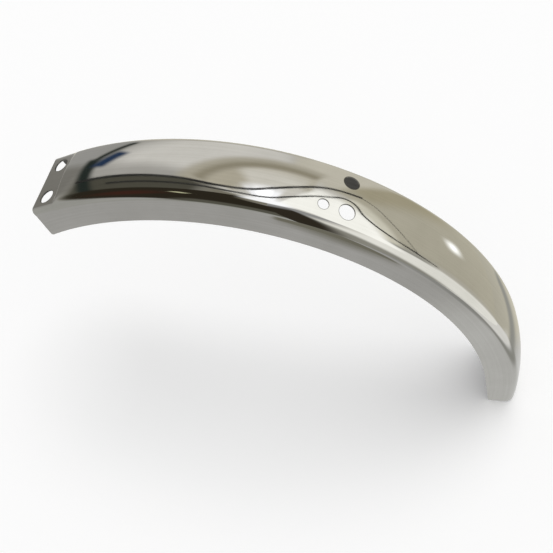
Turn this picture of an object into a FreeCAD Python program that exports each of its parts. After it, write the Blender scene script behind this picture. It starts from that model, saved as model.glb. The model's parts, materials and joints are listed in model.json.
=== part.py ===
"""Moped rear mudguard: one pressed sheet, an arched channel with a stepped flat flange at its front.

Millimetres. +X runs to the rear of the machine, +Y across it, +Z up, as the guard sits over the wheel.
The origin is the middle of the two bolt holes, on the upper face of the front flange.
"""
import FreeCAD, Part
import math
import os

from FreeCAD import Vector

# The arch over the wheel
crown_radius = 300.0        # wheel axle to the outside of the crest
guard_width = 68.0          # across the two rims, outside
guard_depth = 33.5          # crest down to the rim
sheet = 1.0                 # thickness of the metal
rear_angle = 84.0           # end cut, back from the top of the arch, degrees

# The section across the guard
crown_round = 114.0         # outside radius of the crown across the guard
shoulder_round = 10.0       # outside radius between crown and skirt
skirt_splay = 3.0           # the skirts open by this towards the rim, degrees

# The flat flange at the front
flange_angle = 30.0         # where the flange leaves the arch, forward of the top, degrees
flange_drop = 5.0           # the flange lies this far below the crest
flange_shoulder = 5.5       # outside radius between flange and skirt
bolt_setback = 11.5         # from the foot of the step forward to the bolt holes
flange_nose = 12.5          # from the bolt holes forward to the front edge
bolt_spacing = 36.0
bolt_hole = 13.5            # diameter
step_length = 7.0           # the step from flange up to crown, along the guard

# The front edge of the skirts
shoulder_setback = 1.5      # behind the flange's front edge, at the foot of the shoulder
rim_lead = 3.0              # ahead of the flange's front edge, at the rim

# The rear end
rear_straight = 11.0        # the rim runs straight over this last part of the arc, degrees

# The holes in the crown
lamp_angle = 19.0           # row of the two equal holes, back from the top, degrees
lamp_spacing = 30.0
lamp_hole = 13.5            # diameter
wire_lead = 20.0            # the small hole lies this far ahead of the row, along the crest
wire_hole = 9.0             # diameter

# Roundings of the four corners of the skirts
corner_round = 2.0

# Sections that carry the rounded step, and room for cuts to run past the metal
step_slices = 6
spare = 20.0


def out_at(angle):
    """Unit vector out from the axle, at an angle back from the top of the arch."""
    turn = math.radians(angle)
    return Vector(math.sin(turn), 0, math.cos(turn))


flange_out = out_at(-flange_angle)
flange_back = out_at(90 - flange_angle)
axle = flange_back * bolt_setback - flange_out * (crown_radius - flange_drop)
rim_radius = crown_radius - guard_depth
degrees_per_mm = math.degrees(1 / crown_radius)
cross = Vector(0, 1, 0)


def on_flange(back, up):
    """Point of the middle plane, back from the bolt holes along the flange and up off its face."""
    return flange_back * back + flange_out * up


def half_section(rise, inset):
    """Joints of one half of the section, as (across, out from the axle), from the crest to below the rim.

    The rise runs from 0, the flat flange, to 1, the full crown.
    The inset moves the whole line inwards, from the outer face towards the inner one.
    """
    lean = math.radians(skirt_splay)
    crest = crown_radius - flange_drop * (1 - rise)
    shoulder = flange_shoulder + (shoulder_round - flange_shoulder) * rise
    skirt_line = guard_width / 2 * math.cos(lean) + rim_radius * math.sin(lean)
    if rise > 0:
        top_round = crown_round / rise
        reach = skirt_line - shoulder - (crest - top_round) * math.sin(lean)
        half_angle = math.asin(reach / (top_round - shoulder)) - lean
        middle_across = (top_round - shoulder) * math.sin(half_angle)
        middle_out = crest - top_round + (top_round - shoulder) * math.cos(half_angle)
    else:
        half_angle = 0.0
        middle_out = crest - shoulder
        middle_across = (skirt_line - shoulder - middle_out * math.sin(lean)) / math.cos(lean)

    def on_shoulder(angle):
        bend = shoulder - inset
        return middle_across + bend * math.sin(angle), middle_out + bend * math.cos(angle)

    foot_angle = math.pi / 2 - lean
    foot_across, foot_out = on_shoulder(foot_angle)
    hem_out = rim_radius - spare
    return {
        "crest": (0.0, crest - inset),
        "edge": on_shoulder(half_angle),
        "bend": on_shoulder((half_angle + foot_angle) / 2),
        "foot": (foot_across, foot_out),
        "hem": (foot_across + (foot_out - hem_out) * math.tan(lean), hem_out),
    }


def section_wire(rise, inset, angle):
    """The closed section in the radial plane at that angle: skirt, shoulder, crown, shoulder, skirt."""
    out = out_at(angle)
    joints = half_section(rise, inset)

    def at(name, side):
        across, radius = joints[name]
        return axle + out * radius + cross * (side * across)

    if rise > 0:
        crown = Part.Arc(at("edge", -1), at("crest", 1), at("edge", 1))
    else:
        crown = Part.LineSegment(at("edge", -1), at("edge", 1))
    lines = [
        Part.LineSegment(at("hem", -1), at("foot", -1)),
        Part.Arc(at("foot", -1), at("bend", -1), at("edge", -1)),
        crown,
        Part.Arc(at("edge", 1), at("bend", 1), at("foot", 1)),
        Part.LineSegment(at("foot", 1), at("hem", 1)),
        Part.LineSegment(at("hem", 1), at("hem", -1)),
    ]
    return Part.Wire([line.toShape() for line in lines])


def filled_guard(inset, step_shift, rear_overrun):
    """The guard as a full body up to its outer face, or up to its inner face with the sheet as inset.

    The step moves back by step_shift, and the arch runs past the end cut by rear_overrun, along the crest.
    """
    foot_angle = -flange_angle + step_shift * degrees_per_mm
    step_angle = step_length * degrees_per_mm
    crown_angle = foot_angle + step_angle
    end_angle = rear_angle + rear_overrun * degrees_per_mm

    arch = Part.Face(section_wire(1, inset, crown_angle)).revolve(axle, cross, end_angle - crown_angle)

    slices = []
    for number in range(step_slices + 1):
        part_way = number / step_slices
        rise = math.sin(part_way * math.pi / 2)
        slices.append(section_wire(rise, inset, foot_angle + step_angle * part_way))
    step = Part.makeLoft(slices, True, False)

    flange_run = flange_back * -(bolt_setback + flange_nose + 2 * spare)
    flange = Part.Face(section_wire(0, inset, foot_angle)).extrude(flange_run)
    return arch.fuse([step, flange])


def side_cut(points):
    """A cutting body with that outline in the middle plane, reaching across the whole guard."""
    width = guard_width + 2 * spare
    near_side = cross * (-width / 2)
    outline = Part.makePolygon([point + near_side for point in points + points[:1]])
    return Part.Face(outline).extrude(cross * width)


def rim_cut():
    """Everything inside the rim line: a round over the wheel that runs out straight at the rear."""
    width = guard_width + 2 * spare
    wheel_side = Part.makeCylinder(rim_radius, width, axle - cross * (width / 2), cross)
    leave = rear_angle - rear_straight
    start = axle + out_at(leave) * rim_radius
    end = start + out_at(leave + 90) * (rim_radius * math.tan(math.radians(rear_straight)) + spare)
    inwards = out_at(leave) * -guard_depth
    return wheel_side.fuse(side_cut([start, end, end + inwards, start + inwards]))


def front_cut():
    """Everything ahead of the front edge: across the flange, back over the shoulder, forward to the rim."""
    nose = -flange_nose
    rim_level = flange_drop - guard_depth
    shoulder_foot = (nose + shoulder_setback, -flange_shoulder)
    slope = (shoulder_setback + rim_lead) / (-flange_shoulder - rim_level)
    below = rim_level - spare
    ahead = nose - rim_lead - 2 * spare
    outline = [
        (nose, spare),
        (nose, 0),
        shoulder_foot,
        (shoulder_foot[0] + slope * (below - shoulder_foot[1]), below),
        (ahead, below),
        (ahead, spare),
    ]
    return side_cut([on_flange(back, up) for back, up in outline])


def punch(diameter, middle, direction):
    """A round punch through the sheet, standing along its direction."""
    return Part.makeCylinder(diameter / 2, 2 * spare, middle - direction * spare, direction)


def punches():
    """Two bolt holes in the flange, two equal holes in the crown, and a small hole ahead of the near one."""
    tools = []
    lamp_out = out_at(lamp_angle)
    lamp_row = axle + lamp_out * crown_radius
    for side in (-1, 1):
        tools.append(punch(bolt_hole, cross * (side * bolt_spacing / 2), flange_out))
        tools.append(punch(lamp_hole, lamp_row + cross * (side * lamp_spacing / 2), lamp_out))

    wire_out = out_at(lamp_angle - wire_lead * degrees_per_mm)
    crown_middle = axle + wire_out * (crown_radius - crown_round)
    wire_lean = math.asin(lamp_spacing / 2 / crown_round)
    wire_line = wire_out * math.cos(wire_lean) - cross * math.sin(wire_lean)
    tools.append(punch(wire_hole, crown_middle + wire_line * crown_round, wire_line))
    return tools


def round_corners(guard):
    """Rounds the sheet at the four corners of the skirts, where the end cuts meet the rim."""
    corners = []
    for edge in guard.Edges:
        middle = edge.valueAt((edge.FirstParameter + edge.LastParameter) / 2)
        along_edge = edge.tangentAt((edge.FirstParameter + edge.LastParameter) / 2)
        if edge.Length > 2 * sheet or abs(along_edge.dot(cross)) < 0.999:
            continue
        sides = guard.ancestorsOfType(edge, Part.Face)
        normals = [face.normalAt(*face.Surface.parameter(middle)) for face in sides]
        if math.degrees(normals[0].getAngle(normals[1])) > 45:
            corners.append(edge)
    return guard.makeFillet(corner_round, corners)


def mudguard():
    """The sheet between the outer and the inner body, trimmed at its rims and ends, and punched.

    On the slope of the step, the inner face lies further back, so that the metal keeps its thickness.
    """
    step_slope = math.atan(math.pi / 2 * flange_drop / step_length)
    outer = filled_guard(0, 0, 0)
    inner = filled_guard(sheet, sheet * math.tan(step_slope / 2), spare)
    guard = outer.cut(inner).cut([rim_cut(), front_cut()]).removeSplitter()
    return round_corners(guard).cut(punches())


os.makedirs("parts", exist_ok=True)
guard = mudguard()
print("mudguard: valid", guard.isValid(), "solids", len(guard.Solids), "volume", round(guard.Volume))
guard.Solids[0].exportStep("parts/mudguard.step")
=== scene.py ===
# %% [markdown]
# # A moped's rear mudguard in polished sheet metal
#
# The guard is one sheet of steel, rolled and pressed into an arched channel that sits over the rear
# wheel. Its front end is pressed down into a flat flange with two bolt holes. The crown carries two
# equal holes for a lamp and a smaller one for its wire.
#
# The shape comes from the CAD model, which is loaded first and stays hidden under the finished piece.
# Its mesh is made of coarse, loose triangles, and a mirror finish would show every one of them. So the
# sheet is modelled again here, with the same sizes, as a fine and even mesh.

import json
import math

import bpy
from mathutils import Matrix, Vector
from mathutils.bvhtree import BVHTree

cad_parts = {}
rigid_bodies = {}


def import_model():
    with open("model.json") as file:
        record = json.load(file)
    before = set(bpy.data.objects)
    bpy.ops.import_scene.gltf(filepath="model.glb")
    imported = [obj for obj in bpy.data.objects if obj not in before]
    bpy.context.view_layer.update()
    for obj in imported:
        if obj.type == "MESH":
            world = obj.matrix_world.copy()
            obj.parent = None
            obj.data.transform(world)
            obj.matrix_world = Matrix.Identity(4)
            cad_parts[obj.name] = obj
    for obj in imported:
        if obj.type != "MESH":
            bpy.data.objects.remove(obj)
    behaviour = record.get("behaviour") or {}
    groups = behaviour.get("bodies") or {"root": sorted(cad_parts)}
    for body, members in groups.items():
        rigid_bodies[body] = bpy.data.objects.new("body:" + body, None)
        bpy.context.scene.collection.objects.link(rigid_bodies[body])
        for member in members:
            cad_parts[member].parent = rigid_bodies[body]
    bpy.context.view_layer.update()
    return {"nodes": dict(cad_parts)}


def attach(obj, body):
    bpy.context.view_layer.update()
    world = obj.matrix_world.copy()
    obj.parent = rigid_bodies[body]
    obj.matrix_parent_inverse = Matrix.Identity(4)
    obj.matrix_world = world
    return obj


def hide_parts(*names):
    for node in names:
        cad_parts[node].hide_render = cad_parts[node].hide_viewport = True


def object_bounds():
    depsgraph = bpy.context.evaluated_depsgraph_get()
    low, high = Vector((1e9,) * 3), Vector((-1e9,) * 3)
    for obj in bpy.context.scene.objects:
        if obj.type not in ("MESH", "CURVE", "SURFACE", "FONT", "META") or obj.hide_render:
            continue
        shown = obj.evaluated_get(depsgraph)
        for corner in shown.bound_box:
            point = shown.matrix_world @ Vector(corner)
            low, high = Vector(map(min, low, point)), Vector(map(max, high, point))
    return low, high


for leftover in list(bpy.data.objects):
    bpy.data.objects.remove(leftover)
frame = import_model()
cad_guard = frame["nodes"]["mudguard"]

# %% [markdown]
# ## Sizes
#
# All lengths are in millimetres and all angles in degrees, as a workshop drawing has them. Blender
# works in metres, so each point is multiplied by `mm` where it is placed. X runs to the rear of the
# machine, Y across it and Z up. The origin lies between the two bolt holes of the flange.

# %% Sizes of the guard
mm = 0.001

crown_radius = 300.0        # wheel axle to the outside of the crest
guard_width = 68.0          # across the two rims
guard_depth = 33.5          # crest down to the rim
sheet = 1.0                 # thickness of the metal
rear_angle = 84.0           # end cut, back from the top of the arch
rear_straight = 11.0        # the rim runs straight over this last part of the arc

crown_round = 114.0         # radius of the crown across the guard
shoulder_round = 10.0       # radius between crown and skirt
skirt_splay = 3.0           # the skirts open by this towards the rim

flange_angle = 30.0         # where the flange leaves the arch, forward of the top
flange_drop = 5.0           # the flange lies this far below the crest
flange_shoulder = 5.5       # radius between flange and skirt
bolt_setback = 11.5         # from the foot of the step forward to the bolt holes
flange_nose = 12.5          # from the bolt holes forward to the front edge
step_length = 7.0           # the step from flange up to crown
shoulder_setback = 1.5      # front edge of the skirt, behind the flange's, under the shoulder
rim_lead = 3.0              # and ahead of the flange's, at the rim
corner_round = 2.0          # the four corners of the skirts

tolerance = 0.01            # points this close count as one, in mm or degrees
rim_radius = crown_radius - guard_depth
lean = math.radians(skirt_splay)


def out_at(angle):
    """Unit vector out from the axle, at an angle in degrees back from the top of the arch."""
    turn = math.radians(angle)
    return Vector((math.sin(turn), 0, math.cos(turn)))


flange_out = out_at(-flange_angle)
flange_back = out_at(90 - flange_angle)
axle = flange_back * bolt_setback - flange_out * (crown_radius - flange_drop)
step_angle = math.degrees(step_length / crown_radius)
crown_angle = step_angle - flange_angle
print("axle at", [round(x, 2) for x in axle], "mm")

# %% [markdown]
# ## The section
#
# Cut across, the guard is a shallow crown, two tight shoulders and two straight skirts. Only one half
# is drawn, and a Mirror modifier gives the other. A single point is extruded along the section, the
# way one would trace a drawing: many short steps round the tight shoulder, longer ones on the flats.
#
# The same section is needed again at the front, where the crown is pressed flat. So it is worked out
# by one function of the rise: 1 is the full crown, 0 the flat flange.

# %% The points of a half section
crown_steps = 18
shoulder_steps = 20
skirt_steps = 12
foot_place = crown_steps + shoulder_steps


def half_section(rise):
    """Points of one half, as (across, out from the axle), from the crest to the rim."""
    crest = crown_radius - flange_drop * (1 - rise)
    shoulder = flange_shoulder + (shoulder_round - flange_shoulder) * rise
    skirt_line = guard_width / 2 * math.cos(lean) + rim_radius * math.sin(lean)
    if rise > 0:
        top_round = crown_round / rise
        reach = skirt_line - shoulder - (crest - top_round) * math.sin(lean)
        edge_angle = math.asin(reach / (top_round - shoulder)) - lean
        middle_across = (top_round - shoulder) * math.sin(edge_angle)
        middle_out = crest - top_round + (top_round - shoulder) * math.cos(edge_angle)
    else:
        edge_angle = 0.0
        middle_out = crest - shoulder
        middle_across = (skirt_line - shoulder - middle_out * math.sin(lean)) / math.cos(lean)

    points = []
    for step in range(crown_steps):
        share = step / crown_steps
        if rise > 0:
            angle = edge_angle * share
            points.append((top_round * math.sin(angle), crest - top_round * (1 - math.cos(angle))))
        else:
            points.append((middle_across * share, crest))
    foot_angle = math.pi / 2 - lean
    for step in range(shoulder_steps + 1):
        angle = edge_angle + (foot_angle - edge_angle) * step / shoulder_steps
        points.append((middle_across + shoulder * math.sin(angle), middle_out + shoulder * math.cos(angle)))
    foot_across, foot_out = points[-1]
    for step in range(1, skirt_steps + 1):
        down = (foot_out - rim_radius) * step / skirt_steps
        points.append((foot_across + down * math.tan(lean), foot_out - down))
    return points


def place_in_arch(across, out, angle):
    """A point of the section at that angle of the arch, in metres."""
    return (axle + out_at(angle) * out + Vector((0, across, 0))) * mm


full_section = half_section(1)
print("half section:", len(full_section), "points, rim at", [round(x, 2) for x in full_section[-1]])

# %% Draw the half section with one extruded point
bpy.ops.object.select_all(action="DESELECT")
bpy.ops.mesh.primitive_plane_add(size=sheet * mm)
guard = bpy.context.object
guard.name = "polished_guard"
line = [place_in_arch(across, out, crown_angle) for across, out in full_section]

bpy.ops.object.mode_set(mode="EDIT")
bpy.ops.mesh.select_all(action="SELECT")
bpy.ops.mesh.merge(type="CENTER")
bpy.ops.transform.translate(value=line[0])
for start, end in zip(line, line[1:]):
    bpy.ops.mesh.extrude_vertices_move(TRANSFORM_OT_translate={"value": end - start})
bpy.ops.object.mode_set(mode="OBJECT")
print("drawn:", len(guard.data.vertices), "points")

# %% [markdown]
# Every point keeps a number, its place in the section from the crest to the rim. New points that
# Blender extrudes or spins from it inherit that number, so a row of points can be found again later.

# %% Number the points, then mirror the half
guard.data.attributes.new("place", "INT", "POINT")
for vertex in guard.data.vertices:
    nearest = min(range(len(line)), key=lambda number: (line[number] - vertex.co).length)
    guard.data.attributes["place"].data[vertex.index].value = nearest

mirror = guard.modifiers.new("other half", "MIRROR")
mirror.use_axis = (False, True, False)
mirror.merge_threshold = tolerance * mm
bpy.ops.object.modifier_apply(modifier=mirror.name)
print("whole section:", len(guard.data.vertices), "points")

# %% [markdown]
# ## The arch
#
# The real channel is rolled, so its section is the same all along the arch. Spin is the tool for
# that: it sweeps the section round the wheel's axle in even steps. The steps are short enough for a
# reflection to run smoothly over them.

# %% Spin the section round the axle
arch_steps = 260

bpy.ops.object.mode_set(mode="EDIT")
bpy.ops.mesh.select_all(action="SELECT")
bpy.ops.mesh.spin(
    steps=arch_steps,
    angle=math.radians(rear_angle - crown_angle),
    center=axle * mm,
    axis=(0, -1, 0),
)
bpy.ops.object.mode_set(mode="OBJECT")


def angle_of(point):
    """Angle of a point, in degrees back from the top of the arch."""
    arm = point / mm - axle
    return math.degrees(math.atan2(arm.x, arm.z))


def places():
    """The place of each point in its section."""
    return [item.value for item in guard.data.attributes["place"].data]


angles = [angle_of(vertex.co) for vertex in guard.data.vertices]
print("arch from", round(min(angles), 2), "to", round(max(angles), 2), "degrees,", len(angles), "points")

# %% [markdown]
# At the rear end the rim leaves its circle and runs straight on, so the skirts get shallower towards
# the end cut. The rows of points on the skirt are drawn together there, in proportion, between the
# foot of the shoulder and the straight rim. That keeps clean four-sided faces where a cut would leave
# slivers.

# %% Run the rim out straight at the rear
foot_across, foot_out = full_section[foot_place]
leave_angle = rear_angle - rear_straight
rear_out = rim_radius / math.cos(math.radians(rear_straight))

for vertex, place in zip(guard.data.vertices, places()):
    past = angle_of(vertex.co) - leave_angle
    if past <= 0 or place <= foot_place:
        continue
    rim_here = rim_radius / math.cos(math.radians(past))
    share = (place - foot_place) / skirt_steps
    down = (foot_out - rim_here) * share
    side = math.copysign(1, vertex.co.y)
    across = foot_across + down * math.tan(lean)
    vertex.co = place_in_arch(side * across, foot_out - down, leave_angle + past)
print("rim at the rear end:", round(rear_out, 2), "mm from the axle")

# %% [markdown]
# ## The step and the flange
#
# At the front the press has pushed the crown down into a flat flange, over a short rounded step. The
# front row of points is extruded again and again. On the step each new row takes a section that is
# a little flatter. On the flange each row moves a share of the way to the front edge, which leans back
# over the shoulder and forward again to the rim.

# %% Extrude the step, row by row
step_rows = 10
flange_rows = 10


def select_points(wanted):
    """Selects just the points that the test accepts, and the lines between them."""
    bpy.ops.object.mode_set(mode="EDIT")
    bpy.ops.mesh.select_mode(type="VERT")
    bpy.ops.mesh.select_all(action="DESELECT")
    bpy.ops.object.mode_set(mode="OBJECT")
    for vertex in guard.data.vertices:
        vertex.select = wanted(vertex.co)
    bpy.ops.object.mode_set(mode="EDIT")


def extrude_row(place_point):
    """Extrudes the selected row and puts each new point where place_point(place, side) says."""
    bpy.ops.mesh.extrude_edges_move()
    bpy.ops.object.mode_set(mode="OBJECT")
    for vertex, place in zip(guard.data.vertices, places()):
        if vertex.select:
            vertex.co = place_point(place, math.copysign(1, vertex.co.y))
    bpy.ops.object.mode_set(mode="EDIT")


select_points(lambda point: angle_of(point) < crown_angle + tolerance)
for row in range(1, step_rows + 1):
    part_way = 1 - row / step_rows
    section = half_section(math.sin(part_way * math.pi / 2))
    angle = -flange_angle + step_angle * part_way

    def on_step(place, side):
        across, out = section[place]
        return place_in_arch(side * across, out, angle)

    extrude_row(on_step)
print("step:", step_rows, "rows")

# %% Extrude the flange to its front edge
flat_section = half_section(0)
flange_level = crown_radius - flange_drop
flat_foot = flat_section[foot_place][1] - flange_level
rim_level = -guard_depth + flange_drop
front_slope = (shoulder_setback + rim_lead) / (-flange_shoulder - rim_level)


def skirt_front(up):
    """Front edge of the skirt, back from the bolt holes, at a level over the flange's face."""
    return -flange_nose + shoulder_setback + front_slope * (up + flange_shoulder)


def front_edge(up):
    """Front edge of the flange, its shoulder and the skirt."""
    if up < flat_foot:
        return skirt_front(up)
    return -flange_nose + (skirt_front(flat_foot) + flange_nose) * up / flat_foot


for row in range(1, flange_rows + 1):

    def on_flange(place, side):
        across, out = flat_section[place]
        ahead = (bolt_setback - front_edge(out - flange_level)) * row / flange_rows
        if place > foot_place:
            foot_across, foot_out = flat_section[foot_place]
            rim_out = math.sqrt(rim_radius ** 2 - ahead ** 2)
            down = (foot_out - rim_out) * (place - foot_place) / skirt_steps
            across, out = foot_across + down * math.tan(lean), foot_out - down
        back = bolt_setback - ahead
        point = flange_back * back + flange_out * (out - flange_level) + Vector((0, side * across, 0))
        return point * mm

    extrude_row(on_flange)
bpy.ops.object.mode_set(mode="OBJECT")
print("sheet:", len(guard.data.vertices), "points,", len(guard.data.polygons), "faces")

# %% [markdown]
# ## The corners of the skirts
#
# The four corners between the rim and the end cuts are rounded, so that nobody gets cut on them. In
# the side view a corner is two straight lines, and a few flat cuts round it off. Each cut is a plane
# that touches the rounding, so one Bisect trims the near and the far skirt together.

# %% Round the corners with Bisect
corner_cuts = 5
corner_spare = 3.0          # points this far past the rounding are cut too


def round_corner(corner, along_rim, along_end):
    """Rounds a corner of the side view. The two unit vectors leave the corner along its two edges."""
    half_way = (along_rim + along_end).normalized()
    half_corner = math.acos(half_way.dot(along_rim))
    centre = corner + half_way * corner_round / math.sin(half_corner)
    run = corner_round / math.tan(half_corner)
    rim_normal = (corner + along_rim * run - centre).normalized()
    end_normal = (corner + along_end * run - centre).normalized()

    def near_corner(point):
        away = point / mm - corner
        return math.hypot(away.x, away.z) < run + corner_spare

    for cut in range(1, corner_cuts + 1):
        normal = rim_normal.slerp(end_normal, cut / (corner_cuts + 1))
        touch = centre + normal * corner_round
        select_points(near_corner)
        bpy.ops.mesh.bisect(plane_co=touch * mm, plane_no=normal, clear_outer=True)


rear_corner = axle + out_at(rear_angle) * rear_out
round_corner(rear_corner, out_at(leave_angle - 90), out_at(rear_angle))

front_ahead = bolt_setback - skirt_front(rim_level)
front_out = math.sqrt(rim_radius ** 2 - front_ahead ** 2) - flange_level
front_corner = flange_back * skirt_front(front_out) + flange_out * front_out
front_rim = (flange_back * (flange_level + front_out) + flange_out * front_ahead).normalized()
front_line = (flange_back * front_slope + flange_out).normalized()
round_corner(front_corner, front_rim, front_line)
bpy.ops.object.mode_set(mode="OBJECT")
print("corners rounded, faces:", len(guard.data.polygons))

# %% [markdown]
# ## Thickness
#
# Up to here the sheet has no thickness. Its faces are first turned outwards, because Solidify grows
# the metal to the inner side of them. The new inner faces and the cut edge get materials of their
# own: the outside is polished, the inside is left dull, and the edge is bare cut metal.

# %% Turn the faces outwards and thicken the sheet
bpy.ops.object.mode_set(mode="EDIT")
bpy.ops.mesh.select_all(action="SELECT")
bpy.ops.mesh.remove_doubles(threshold=tolerance * mm)
bpy.ops.mesh.normals_make_consistent(inside=False)
bpy.ops.object.mode_set(mode="OBJECT")
crest_face = max(guard.data.polygons, key=lambda face: face.center.z)
if crest_face.normal.z < 0:
    bpy.ops.object.mode_set(mode="EDIT")
    bpy.ops.mesh.select_all(action="SELECT")
    bpy.ops.mesh.flip_normals()
    bpy.ops.object.mode_set(mode="OBJECT")

guard.data.attributes.remove(guard.data.attributes["place"])
finishes = ("polished_outside", "dull_inside", "cut_edge")
for finish in finishes:
    guard.data.materials.append(bpy.data.materials.new(finish))
inside = finishes.index("dull_inside")
edge = finishes.index("cut_edge")

thicken = guard.modifiers.new("sheet thickness", "SOLIDIFY")
thicken.thickness = sheet * mm
thicken.offset = -1
thicken.use_even_offset = True
thicken.material_offset = inside
thicken.material_offset_rim = edge
bpy.ops.object.modifier_apply(modifier=thicken.name)
print("solid sheet:", len(guard.data.polygons), "faces")

# %% [markdown]
# ## The holes
#
# Five round holes are punched after forming. A punch is a cylinder that stands along the direction of
# the press, and a Boolean modifier takes it out of the sheet. The wall of the hole keeps the punch's
# material, so it becomes cut edge too.

# %% Punch the holes
bolt_spacing = 36.0
lamp_angle = 19.0           # row of the two equal holes, back from the top
lamp_spacing = 30.0
large_hole = 13.5           # diameter of the bolt and the lamp holes
wire_lead = 20.0            # the small hole lies this far ahead of the lamp row
wire_hole = 9.0             # diameter of the small hole
punch_length = 12.0
punch_sides = 96            # flats round a punch


def punch(diameter, middle, direction):
    """Takes a round hole out of the guard."""
    bpy.ops.object.select_all(action="DESELECT")
    bpy.ops.mesh.primitive_cylinder_add(
        vertices=punch_sides,
        radius=diameter / 2 * mm,
        depth=punch_length * mm,
        location=middle * mm,
        rotation=direction.to_track_quat("Z", "Y").to_euler(),
    )
    tool = bpy.context.object
    for finish in finishes:
        tool.data.materials.append(bpy.data.materials[finish])
    for face in tool.data.polygons:
        face.material_index = edge
    bpy.context.view_layer.objects.active = guard
    cut = guard.modifiers.new("punch", "BOOLEAN")
    cut.operation = "DIFFERENCE"
    cut.solver = "EXACT"
    cut.object = tool
    bpy.ops.object.modifier_apply(modifier=cut.name)
    bpy.data.objects.remove(tool)


cross = Vector((0, 1, 0))
lamp_out = out_at(lamp_angle)
lamp_row = axle + lamp_out * crown_radius
holes = []
for side in (-1, 1):
    holes.append((large_hole, cross * (side * bolt_spacing / 2), flange_out))
    holes.append((large_hole, lamp_row + cross * (side * lamp_spacing / 2), lamp_out))

wire_out = out_at(lamp_angle - math.degrees(wire_lead / crown_radius))
wire_lean = math.asin(lamp_spacing / 2 / crown_round)
wire_line = wire_out * math.cos(wire_lean) - cross * math.sin(wire_lean)
crown_middle = axle + wire_out * (crown_radius - crown_round)
holes.append((wire_hole, crown_middle + wire_line * crown_round, wire_line))
for hole in holes:
    punch(*hole)
print("punched sheet:", len(guard.data.polygons), "faces")

# %% [markdown]
# ## Check against the CAD
#
# The finished piece stands for the CAD node, so it must be the same shape. Every point of it is held
# against the nearest CAD face.

# %% Measure the distance to the CAD shape
crease = 35                 # degrees; sharper edges stay sharp

bpy.ops.object.select_all(action="DESELECT")
guard.select_set(True)
bpy.context.view_layer.objects.active = guard
bpy.ops.object.shade_smooth_by_angle(angle=math.radians(crease))

cad_faces = BVHTree.FromPolygons(
    [vertex.co for vertex in cad_guard.data.vertices],
    [face.vertices for face in cad_guard.data.polygons],
)
gaps = [cad_faces.find_nearest(vertex.co)[3] / mm for vertex in guard.data.vertices]
triangles = sum(len(face.vertices) - 2 for face in guard.data.polygons)
print("largest distance to the CAD:", round(max(gaps), 3), "mm;", triangles, "triangles")

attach(guard, "root")
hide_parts("mudguard")

# %% [markdown]
# ## The finish of the metal
#
# The outside is polished to a mirror on a wheel that runs along the guard. What is left of that work
# are very fine lines along the arch, soft clouds where the polish is a little duller, and a gentle
# waviness of the sheet that bends every reflection. The inside has the same traces, but coarser.
#
# All finishes use them, so they are one node group. It takes the Object coordinates, turns them into
# a length along the arch, a width and a height, and stretches a noise along the arch to get the lines.

# %% The traces of polishing, as a node group
along_stretch = 0.004       # metres of noise for each radian of the arch, so little changes along it


def add_node(tree, kind, links=None, **values):
    """Adds a node, links the named inputs to other nodes' outputs and sets the named values."""
    node = tree.nodes.new(kind)
    for name, value in values.items():
        setattr(node, name, value)
    for name, source in (links or {}).items():
        if hasattr(source, "is_output"):
            tree.links.new(source, node.inputs[name])
        else:
            node.inputs[name].default_value = source
    return node


def polishing_traces():
    """Group with the masks Lines and Clouds and the height Waves."""
    group = bpy.data.node_groups.new("polishing traces", "ShaderNodeTree")
    for name in ("Line Scale", "Cloud Scale", "Wave Scale"):
        group.interface.new_socket(name, in_out="INPUT", socket_type="NodeSocketFloat")
    for name in ("Lines", "Clouds", "Waves"):
        group.interface.new_socket(name, in_out="OUTPUT", socket_type="NodeSocketFloat")
    start = add_node(group, "NodeGroupInput")
    end = add_node(group, "NodeGroupOutput")

    here = add_node(group, "ShaderNodeTexCoord").outputs["Object"]
    arm = add_node(group, "ShaderNodeMapping", {"Vector": here, "Location": -axle * mm})
    parts = add_node(group, "ShaderNodeSeparateXYZ", {"Vector": arm.outputs["Vector"]})
    x, y, z = (parts.outputs[name] for name in "XYZ")
    flat = add_node(group, "ShaderNodeCombineXYZ", {"X": x, "Y": z})
    height = add_node(group, "ShaderNodeVectorMath", {0: flat.outputs["Vector"]}, operation="LENGTH")
    angle = add_node(group, "ShaderNodeMath", {0: x, 1: z}, operation="ARCTAN2")
    along = add_node(group, "ShaderNodeMath", {0: angle.outputs[0], 1: along_stretch}, operation="MULTIPLY")
    drawn = add_node(
        group, "ShaderNodeCombineXYZ",
        {"X": along.outputs[0], "Y": y, "Z": height.outputs["Value"]},
    )

    lines = add_node(
        group, "ShaderNodeTexNoise",
        {"Vector": drawn.outputs["Vector"], "Scale": start.outputs["Line Scale"], "Detail": 3.0},
    )
    clouds = add_node(
        group, "ShaderNodeTexNoise",
        {"Vector": here, "Scale": start.outputs["Cloud Scale"], "Detail": 4.0, "Roughness": 0.6},
    )
    waves = add_node(
        group, "ShaderNodeTexNoise",
        {"Vector": here, "Scale": start.outputs["Wave Scale"], "Detail": 0.0},
    )
    for name, noise in (("Lines", lines), ("Clouds", clouds), ("Waves", waves)):
        group.links.new(noise.outputs["Fac"], end.inputs[name])
    return group


traces = polishing_traces()
print("node group:", traces.name, [item.name for item in traces.interface.items_tree])

# %% [markdown]
# A metal in Blender is a Principled shader with Metallic at 1. Its colour is what it gives back of the
# light, a little over half for bright steel. The polish is in the roughness: the clouds and the lines
# raise it by a little, and where they do, a reflection gets softer.

# %% A metal with traces of polishing
line_share = 0.35           # the dullness is this much lines, and clouds for the rest
low_noise = 0.35            # the noise is seldom lower than this
high_noise = 0.65           # or higher than this
darkest_noise = 0.70        # here the colour is the dull one


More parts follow.
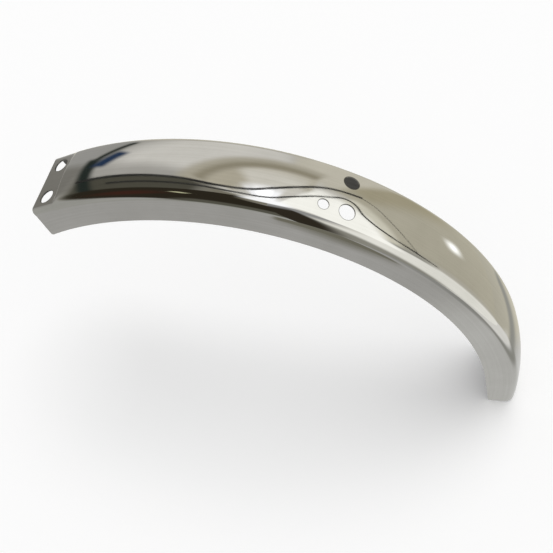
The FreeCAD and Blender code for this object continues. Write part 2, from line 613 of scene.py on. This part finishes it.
def metal(name, bright, dull, smooth, rough, scales, wave_height, line_height):
    """Fills a material: two colours, two roughnesses, the scales of the traces and their heights in mm."""
    material = bpy.data.materials[name]
    material.use_nodes = True
    tree = material.node_tree
    shader = tree.nodes["Principled BSDF"]
    shader.inputs["Metallic"].default_value = 1.0

    marks = add_node(tree, "ShaderNodeGroup", node_tree=traces)
    for socket, scale in zip(marks.inputs, scales):
        socket.default_value = scale
    dullness = add_node(
        tree, "ShaderNodeMix",
        {"Factor": line_share, "A": marks.outputs["Clouds"], "B": marks.outputs["Lines"]},
    )
    spread = add_node(
        tree, "ShaderNodeMapRange",
        {
            "Value": dullness.outputs["Result"],
            "From Min": low_noise,
            "From Max": high_noise,
            "To Min": smooth,
            "To Max": rough,
        },
    )
    tree.links.new(spread.outputs["Result"], shader.inputs["Roughness"])

    tint = add_node(tree, "ShaderNodeValToRGB", {"Fac": dullness.outputs["Result"]})
    tint.color_ramp.elements[0].position = low_noise
    tint.color_ramp.elements[0].color = (*bright, 1)
    tint.color_ramp.elements[1].position = darkest_noise
    tint.color_ramp.elements[1].color = (*dull, 1)
    tree.links.new(tint.outputs["Color"], shader.inputs["Base Color"])

    waves = add_node(
        tree, "ShaderNodeBump",
        {"Height": marks.outputs["Waves"], "Strength": 1.0, "Distance": wave_height * mm},
    )
    scratches = add_node(
        tree, "ShaderNodeBump",
        {
            "Height": marks.outputs["Lines"],
            "Strength": 1.0,
            "Distance": line_height * mm,
            "Normal": waves.outputs["Normal"],
        },
    )
    tree.links.new(scratches.outputs["Normal"], shader.inputs["Normal"])


# %% Bright outside, dull inside and bare cut edge
metal(
    "polished_outside",
    bright=(0.57, 0.565, 0.55), dull=(0.50, 0.495, 0.475), smooth=0.03, rough=0.09,
    scales=(500, 18, 14), wave_height=0.10, line_height=0.0012,
)
metal(
    "dull_inside",
    bright=(0.14, 0.137, 0.13), dull=(0.10, 0.097, 0.091), smooth=0.32, rough=0.50,
    scales=(1200, 40, 14), wave_height=0.10, line_height=0.004,
)
metal(
    "cut_edge",
    bright=(0.26, 0.255, 0.245), dull=(0.19, 0.185, 0.175), smooth=0.22, rough=0.40,
    scales=(1800, 120, 14), wave_height=0.0, line_height=0.003,
)
print("finishes:", [slot.material.name for slot in guard.material_slots])

# %% [markdown]
# Each hole gets a fine dark ring of painted shade, where its cut edge falls into shade. It is far too
# small for the mesh, so it is a mask in the finish: the distance from the axis of each hole.

# %% Painted shade round the holes
shade_ring_width = 0.5            # width of the ring of painted shade, in mm
# colour of the painted shade round the holes
hole_shade_colour = (0.12, 0.118, 0.11)


def painted_hole_shade():
    """Group with a Mask of painted shade that is 1 at the edge of each hole and fades out over the ring."""
    group = bpy.data.node_groups.new("painted shade round the holes", "ShaderNodeTree")
    group.interface.new_socket("Mask", in_out="OUTPUT", socket_type="NodeSocketFloat")
    end = add_node(group, "NodeGroupOutput")
    here = add_node(group, "ShaderNodeTexCoord").outputs["Object"]
    mask = 0.0
    for diameter, middle, direction in holes:
        arm = add_node(group, "ShaderNodeVectorMath", {0: here, 1: middle * mm}, operation="SUBTRACT")
        lever = add_node(
            group, "ShaderNodeVectorMath",
            {0: arm.outputs["Vector"], 1: direction}, operation="CROSS_PRODUCT",
        )
        away = add_node(group, "ShaderNodeVectorMath", {0: lever.outputs["Vector"]}, operation="LENGTH")
        rim = add_node(
            group, "ShaderNodeMapRange",
            {
                "Value": away.outputs["Value"],
                "From Min": (diameter / 2 + shade_ring_width) * mm,
                "From Max": (diameter + shade_ring_width) / 2 * mm,
            },
        )
        larger = add_node(group, "ShaderNodeMath", {0: mask, 1: rim.outputs["Result"]}, operation="MAXIMUM")
        mask = larger.outputs[0]
    group.links.new(mask, end.inputs["Mask"])
    return group


# The base colour of the polish turns to the painted shade in a ring round each hole.
polish = bpy.data.materials["polished_outside"].node_tree
base_colour = polish.nodes["Principled BSDF"].inputs["Base Color"]
rims = add_node(polish, "ShaderNodeGroup", node_tree=painted_hole_shade())
shaded_round_holes = add_node(
    polish, "ShaderNodeMixRGB",
    {"Fac": rims.outputs["Mask"], "Color1": base_colour.links[0].from_socket, "Color2": (*hole_shade_colour, 1)},
)
polish.links.new(shaded_round_holes.outputs["Color"], base_colour)
print("rims on", len(holes), "holes")

# %% [markdown]
# ## The studio
#
# Polished metal has hardly any look of its own: it shows what stands round it. A bare white room would
# make this guard look like grey plastic. So it stands in a small round tent of pale cloth on thin
# poles, as bright parts do when they are photographed. The tent is open at the camera's side, and its
# opening is dark. The guard shows the walls, the poles and that darkness, and so it looks like metal.
#
# The studio has two parts. A white floor, a white sky and one soft sun light the scene. The tent stands
# round the guard over a ground sheet, and only the metal sees them. The ground sheet carries painted
# shade: the metal shows it in place of the white floor, grey where that floor would lie in shade.

# %% Floor and sky
guard_low, guard_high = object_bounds()
floor_middle = Vector(((guard_low.x + guard_high.x) / 2, 0, guard_low.z))
scene = bpy.context.scene
scene.view_settings.view_transform = "Standard"

sky_light = 0.55            # what the sky gives to the floor
sun_light = 0.35            # what the soft sun gives to it
sun_width = 40              # degrees; a wide sun throws a soft shadow
sun_height = 70             # degrees over the floor, at the far side
floor_white = 0.9           # colour of the floor
floor_roughness = 0.9
floor_lift = 0.19           # brings the lit floor up to white
floor_size = 40.0           # metres, so that its end is lost in the distance


def background_mask(tree):
    """1 where the camera, a mirror or a glass looks at the thing, 0 where light only passes by."""
    rays = add_node(tree, "ShaderNodeLightPath").outputs
    seen = add_node(
        tree, "ShaderNodeMath",
        {0: rays["Is Camera Ray"], 1: rays["Is Glossy Ray"]}, operation="MAXIMUM",
    )
    through = add_node(
        tree, "ShaderNodeMath",
        {0: seen.outputs[0], 1: rays["Is Transmission Ray"]}, operation="MAXIMUM",
    )
    return through.outputs[0]


bpy.ops.object.select_all(action="DESELECT")
bpy.ops.mesh.primitive_plane_add(size=floor_size, location=floor_middle)
floor = bpy.context.object
floor.name = "floor"
paint = bpy.data.materials.new("white floor")
paint.use_nodes = True
shader = paint.node_tree.nodes["Principled BSDF"]
shader.inputs["Base Color"].default_value = (floor_white, floor_white, floor_white, 1)
shader.inputs["Roughness"].default_value = floor_roughness
shader.inputs["Specular IOR Level"].default_value = 0.0
shader.inputs["Emission Color"].default_value = (1, 1, 1, 1)
lift = add_node(
    paint.node_tree, "ShaderNodeMath",
    {0: background_mask(paint.node_tree), 1: floor_lift}, operation="MULTIPLY",
)
paint.node_tree.links.new(lift.outputs[0], shader.inputs["Emission Strength"])
floor.data.materials.append(paint)

scene.world = bpy.data.worlds.new("white sky")
scene.world.use_nodes = True
sky = scene.world.node_tree.nodes["Background"]
sky.inputs["Color"].default_value = (1, 1, 1, 1)
level = add_node(
    scene.world.node_tree, "ShaderNodeMapRange",
    {"Value": background_mask(scene.world.node_tree), "To Min": sky_light, "To Max": 1.0},
)
scene.world.node_tree.links.new(level.outputs["Result"], sky.inputs["Strength"])
print("floor at", round(guard_low.z, 4), "m")


# %% [markdown]
# Places in the tent are given as on a map of the sky: an azimuth, which starts at the far side of the
# guard and grows towards its rear, and an elevation over the floor.

# %% Places by azimuth and elevation
def in_tent(azimuth, elevation, distance):
    """The place in that direction from the middle of the floor."""
    turn = math.radians(azimuth)
    rise = math.radians(elevation)
    direction = Vector((math.sin(turn) * math.cos(rise), math.cos(turn) * math.cos(rise), math.sin(rise)))
    return floor_middle + direction * distance


def show_only_in_metal(thing):
    """The thing is left out of the picture, throws no shadow and gives no light. The metal reflects it."""
    thing.visible_camera = False
    thing.visible_diffuse = False
    thing.visible_transmission = False
    thing.visible_shadow = False


sun_place = in_tent(0, sun_height, 1.0)
bpy.ops.object.light_add(
    type="SUN",
    location=sun_place,
    rotation=(floor_middle - sun_place).to_track_quat("-Z", "Y").to_euler(),
)
sun = bpy.context.object
sun.name = "soft sun"
sun.data.angle = math.radians(sun_width)
sun.data.energy = sun_light * math.pi
sun.visible_glossy = False
print("sun from", [round(x, 2) for x in sun_place - floor_middle])

# %% [markdown]
# The cloth of the tent is a hemisphere that glows a little, as cloth does with light behind it. Its
# panels differ in brightness and tint, and each is a soft-edged window in azimuth and elevation. The
# mask of such a window is needed many times, so it is a node group.

# %% The mask of one panel, as a node group
borders_of_a_panel = ("West", "East", "Lean", "Low", "High", "Slope", "Edge")


def soft_window():
    """Group with a Mask that is 1 between the four borders and fades out over the edge.

    With a lean, the side borders shift by that much for each unit upwards. With a slope, the lower and
    upper borders shift by that much for each unit across.
    """
    group = bpy.data.node_groups.new("soft window", "ShaderNodeTree")
    for name in ("Across", "Up", *borders_of_a_panel):
        group.interface.new_socket(name, in_out="INPUT", socket_type="NodeSocketFloat")
    group.interface.new_socket("Mask", in_out="OUTPUT", socket_type="NodeSocketFloat")
    given = add_node(group, "NodeGroupInput").outputs
    end = add_node(group, "NodeGroupOutput")

    def calculate(operation, first, second):
        return add_node(group, "ShaderNodeMath", {0: first, 1: second}, operation=operation).outputs[0]

    def past(value, border):
        ramp = add_node(
            group, "ShaderNodeMapRange",
            {
                "Value": value,
                "From Min": calculate("SUBTRACT", border, given["Edge"]),
                "From Max": calculate("ADD", border, given["Edge"]),
            },
            interpolation_type="SMOOTHSTEP",
        )
        return ramp.outputs["Result"]

    upright = calculate("SUBTRACT", given["Across"], calculate("MULTIPLY", given["Up"], given["Lean"]))
    level = calculate("SUBTRACT", given["Up"], calculate("MULTIPLY", given["Across"], given["Slope"]))
    between_sides = calculate("SUBTRACT", past(upright, given["West"]), past(upright, given["East"]))
    between_levels = calculate("SUBTRACT", past(level, given["Low"]), past(level, given["High"]))
    group.links.new(calculate("MULTIPLY", between_sides, between_levels), end.inputs["Mask"])
    return group


window = soft_window()
print("node group:", window.name)


# %% Coordinates for the panels, and a cloth that glows in them
def sky_place(tree):
    """Azimuth and elevation, in degrees, as seen from the object's own middle."""
    here = add_node(tree, "ShaderNodeTexCoord").outputs["Object"]
    direction = add_node(tree, "ShaderNodeVectorMath", {0: here}, operation="NORMALIZE").outputs["Vector"]
    parts = add_node(tree, "ShaderNodeSeparateXYZ", {"Vector": direction}).outputs
    turn = add_node(tree, "ShaderNodeMath", {0: parts["X"], 1: parts["Y"]}, operation="ARCTAN2").outputs[0]
    rise = add_node(tree, "ShaderNodeMath", {0: parts["Z"]}, operation="ARCSINE").outputs[0]
    azimuth = add_node(tree, "ShaderNodeMath", {0: turn}, operation="DEGREES")
    elevation = add_node(tree, "ShaderNodeMath", {0: rise}, operation="DEGREES")
    return azimuth.outputs[0], elevation.outputs[0]


def floor_place(tree):
    """Lengths towards the rear and towards the far side, in millimetres, from the object's own middle."""
    here = add_node(tree, "ShaderNodeTexCoord").outputs["Object"]
    in_mm = add_node(tree, "ShaderNodeVectorMath", {0: here, "Scale": 1 / mm}, operation="SCALE")
    parts = add_node(tree, "ShaderNodeSeparateXYZ", {"Vector": in_mm.outputs["Vector"]}).outputs
    return parts["X"], parts["Y"]


def glowing_cloth(name, plain, panels, place):
    """A material with a plain glow and panels over it, which lie by the two coordinates of place."""
    cloth = bpy.data.materials.new(name)
    cloth.use_nodes = True
    tree = cloth.node_tree
    tree.nodes.remove(tree.nodes["Principled BSDF"])
    across, up = place(tree)
    glow = (*plain, 1)
    for borders, colour in panels:
        panel = add_node(tree, "ShaderNodeGroup", node_tree=window)
        tree.links.new(across, panel.inputs["Across"])
        tree.links.new(up, panel.inputs["Up"])
        for border, value in zip(borders_of_a_panel, borders):
            panel.inputs[border].default_value = value
        layer = add_node(
            tree, "ShaderNodeMixRGB",
            {"Fac": panel.outputs["Mask"], "Color1": glow, "Color2": (*colour, 1)},
        )
        glow = layer.outputs["Color"]
    light = add_node(tree, "ShaderNodeEmission", {"Color": glow, "Strength": 1.0})
    tree.links.new(light.outputs["Emission"], tree.nodes["Material Output"].inputs["Surface"])
    return cloth


# %% [markdown]
# The panels are laid one over the other, like paper on paper: first the large walls and the roof, then
# their lighter and darker parts, and last the dark opening. Each has its borders, as west, east, lean,
# low, high, slope and edge, and then the colour of its glow. On the tent they are in degrees, and on the
# ground in millimetres from its middle.

# %% The panels of the tent
plain_cloth = (0.72, 0.69, 0.60)
tent_panels = [
    ((-200, 200, 0, 60, 100, 0, 6), (1.00, 0.98, 0.92)),            # roof
    ((112, 200, 0, 66, 100, 0, 6), (0.45, 0.45, 0.45)),             # roof right of the camera
    ((-200, -62, 0, 70, 100, 0, 6), (0.30, 0.28, 0.22)),            # roof left of the camera
    ((84, 178, 0, -9, 60, 0, 6), (1.30, 1.29, 1.22)),               # white wall behind the rear end
    ((134, 190, 0.35, -9, 64, 0, 9), (0.42, 0.41, 0.36)),           # grey wall beside the opening
    ((79, 92, 0, 36, 54, 0, 5), (0.48, 0.47, 0.42)),                # shadow in the corner
    ((31, 78, 0, -9, 68, -0.25, 1.5), (0.70, 0.665, 0.54)),         # beige wall
    ((28, 46, 0, 12, 52, 0, 6), (0.58, 0.53, 0.38)),                # its olive part
    ((44, 80, 0, 67, 74, -0.25, 2), (1.00, 0.97, 0.82)),            # light strip over it
    ((58, 61, 0, 18, 22, 0, 3.5), (4.0, 4.1, 4.2)),                 # small gap in the wall
    ((30, 112, 0, 73, 100, -0.25, 3), (1.62, 1.62, 1.55)),          # bright roof over the rear
    ((-112, -50, 0, 32, 72, 0, 4), (0.12, 0.115, 0.09)),            # brown strip beside the opening
    ((-89, -14, 0.375, 28, 60.5, -0.1, 1.5), (0.60, 0.585, 0.55)),  # far wall, shaded along its edges
    ((-78, -14, 0.375, 32, 62, -0.1, 7), (1.00, 0.98, 0.93)),       # its lit middle
    ((5, 33, 0, 20, 60, 0, 3), (0.88, 0.84, 0.72)),                 # beige end of the far wall
    ((-112, -22, 0.75, 60.5, 73, -0.1, 2.5), (0.72, 0.67, 0.54)),   # brown cloth over the far wall
    ((-24, 24, 0, 63, 77, 0, 6), (1.02, 0.99, 0.90)),               # paler towards the rear
    ((-64, 21, 0, 54, 62, -0.12, 2.5), (0.66, 0.62, 0.51)),         # its brown border
    ((-58, 21, 0, 58, 62, -0.12, 2), (0.45, 0.41, 0.31)),           # and the dark hem
    ((-200, -95, 0, -9, 32, 0, 2), (0.54, 0.54, 0.51)),             # grey ledge in front
    ((-95, -40, 0, -9, 32, 0, 4), (0.47, 0.465, 0.445)),            # its end in the shade
    ((-82, -65, 0, 5, 33, 0, 3), (0.30, 0.29, 0.265)),              # the darkest part of it
    ((-62, -46, 0, 26.8, 29.2, -0.06, 1.2), (0.035, 0.045, 0.04)),  # dark edge of the ledge
    ((-88, -61, 0, 4.3, 8.8, -0.4, 1.5), (0.03, 0.04, 0.035)),      # its thicker end
    ((-200, -84, 0, 54, 106, 0.2, 3), (0.040, 0.033, 0.022)),       # dark opening, left of the camera
    ((-200, -150, 0, 16, 40, 0, 5), (0.15, 0.145, 0.115)),          # its lower part
    ((-128, -106, 0, 40, 56, 0, 7), (0.075, 0.03, 0.02)),           # dark red cloth in it
    ((-130, -117, 0, 60.5, 63, 0, 1.5), (1.0, 1.0, 0.65)),          # bright slit in it
    ((170, 240, -0.25, 36, 107, -0.2, 5), (0.045, 0.037, 0.026)),   # dark opening, right of the camera
    ((-66, -54, 0, 33.5, 38, 0, 1.5), (0.03, 0.06, 0.13)),          # dark blue cloth
    ((-34, 16, 0, 77, 100, 0, 4), (1.70, 1.72, 1.80)),              # light through the top
    ((-22, 4, 0, 79, 100, 0, 4), (2.6, 2.65, 2.75)),                # brightest part of it
    ((-200, 200, 0, 83, 100, 0, 2.5), (1.72, 1.74, 1.80)),          # the open top
]
print("tent:", len(tent_panels), "panels")

# %% The panels of the ground sheet, its painted shade and light
# The ground sheet glows grey where the metal would show the floor in shade. It is painted shade in place of
# the white floor, with lighter and darker panels of painted light and shade.
plain_ground_shade = (0.57, 0.565, 0.55)
ground_shade_panels = [
    ((-700, 700, 0, 40, 700, 0, 30), (0.68, 0.65, 0.54)),           # beige at the far side
    ((150, 300, 0, -165, 40, 0, 35), (0.72, 0.72, 0.70)),           # painted light, lighter in front of the rear end
    ((170, 345, 0, -700, -185, 0, 30), (0.44, 0.44, 0.42)),         # painted shade, darker further out
    ((372, 700, 0, -700, 60, 0, 25), (1.08, 1.07, 1.03)),           # painted light behind the rear end
    ((300, 350, 0, -330, 200, 0, 18), (0.41, 0.41, 0.375)),         # a darker band before it
    ((-60, 112, 0, -700, -254, 0.33, 9), (0.25, 0.24, 0.19)),       # shade of the opening
]
print("ground:", len(ground_shade_panels), "panels")

# %% The tent and its ground sheet of painted shade
tent_radius = 0.6           # metres
ground_lift = 0.001         # metres; the ground sheet lies this far above the floor
cloth_facets = 64           # flats round the tent

bpy.ops.object.select_all(action="DESELECT")
bpy.ops.mesh.primitive_uv_sphere_add(
    segments=cloth_facets, ring_count=cloth_facets // 2, radius=tent_radius, location=floor_middle,
)
tent = bpy.context.object
tent.name = "tent"
bpy.ops.object.shade_smooth()
tent.data.materials.append(glowing_cloth("tent cloth", plain_cloth, tent_panels, sky_place))
show_only_in_metal(tent)

# The ground sheet shows in the metal in place of the white floor, and carries its painted shade.
bpy.ops.object.select_all(action="DESELECT")
bpy.ops.mesh.primitive_circle_add(
    vertices=cloth_facets,
    radius=tent_radius,
    fill_type="NGON",
    location=floor_middle + Vector((0, 0, ground_lift)),
)
ground = bpy.context.object
ground.name = "ground cloth"
ground.data.materials.append(glowing_cloth("ground cloth", plain_ground_shade, ground_shade_panels, floor_place))
show_only_in_metal(ground)
print("tent of", tent_radius, "m over a ground cloth")

# %% [markdown]
# Three thin poles carry the cloth. A pole is a curve through a few places of the tent, and the curve's
# bevel gives it thickness. They are needed only in the reflections, so they stay plain black.

# %% The poles of the tent
far_pole_radius = 0.0065    # metres, as the other two
roof_pole_radius = 0.0045
rear_pole_radius = 0.0018
pole_black = 0.03           # colour of the poles
pole_roughness = 0.6

# each pole runs through these places of the tent: azimuth and elevation
far_pole = [(-76, 35), (-66, 62), (-57, 74), (-30, 79), (0, 77), (17, 72), (32, 60), (42, 52)]
roof_pole = [
    (-78, 45), (-70, 68), (-52, 80), (0, 83), (25, 79),
    (40, 66), (45, 59), (62, 58), (73, 52), (78, 42), (80, 33),
]
rear_pole = [(42, 52), (49, 50), (58, 48.5), (67, 46), (73, 43.5), (78, 41)]

black = bpy.data.materials.new("black pole")
black.use_nodes = True
coat = black.node_tree.nodes["Principled BSDF"].inputs
coat["Base Color"].default_value = (pole_black, pole_black, pole_black, 1)
coat["Roughness"].default_value = pole_roughness


def pole(name, places, radius):
    """A thin bent rod along the inside of the cloth, through the places given."""
    curve = bpy.data.curves.new(name, "CURVE")
    curve.dimensions = "3D"
    curve.bevel_depth = radius
    spline = curve.splines.new("BEZIER")
    spline.bezier_points.add(len(places) - 1)
    for point, (azimuth, elevation) in zip(spline.bezier_points, places):
        point.co = in_tent(azimuth, elevation, tent_radius - 2 * radius)
        point.handle_left_type = "AUTO"
        point.handle_right_type = "AUTO"
    rod = bpy.data.objects.new(name, curve)
    scene.collection.objects.link(rod)
    curve.materials.append(black)
    show_only_in_metal(rod)


pole("far pole", far_pole, far_pole_radius)
pole("roof pole", roof_pole, roof_pole_radius)
pole("rear pole", rear_pole, rear_pole_radius)

# %% [markdown]
# ## The camera
#
# The photograph looks down on the guard from the left side of the machine. Its place was found from
# the outlines and the holes in the picture: a normal lens, no tilt sideways, aimed 57 degrees down.

# %% Camera at the photograph's place
camera_place = Vector((261.0, -356.7, 461.9))
camera_down = 57.113        # degrees below level
camera_turn = 10.331        # degrees from straight across, towards the front of the machine
camera_lens = 45.346        # focal length, in mm
camera_sensor = 36          # width of the film, in mm
camera_near = 0.01          # metres; closer things aren't drawn

bpy.ops.object.camera_add(
    location=camera_place * mm,
    rotation=(math.radians(90 - camera_down), 0, math.radians(camera_turn)),
)
camera = bpy.context.object
camera.data.lens = camera_lens
camera.data.sensor_width = camera_sensor
camera.data.clip_start = camera_near
scene.camera = camera
print("camera", [round(x, 3) for x in camera.location], "lens", camera.data.lens)
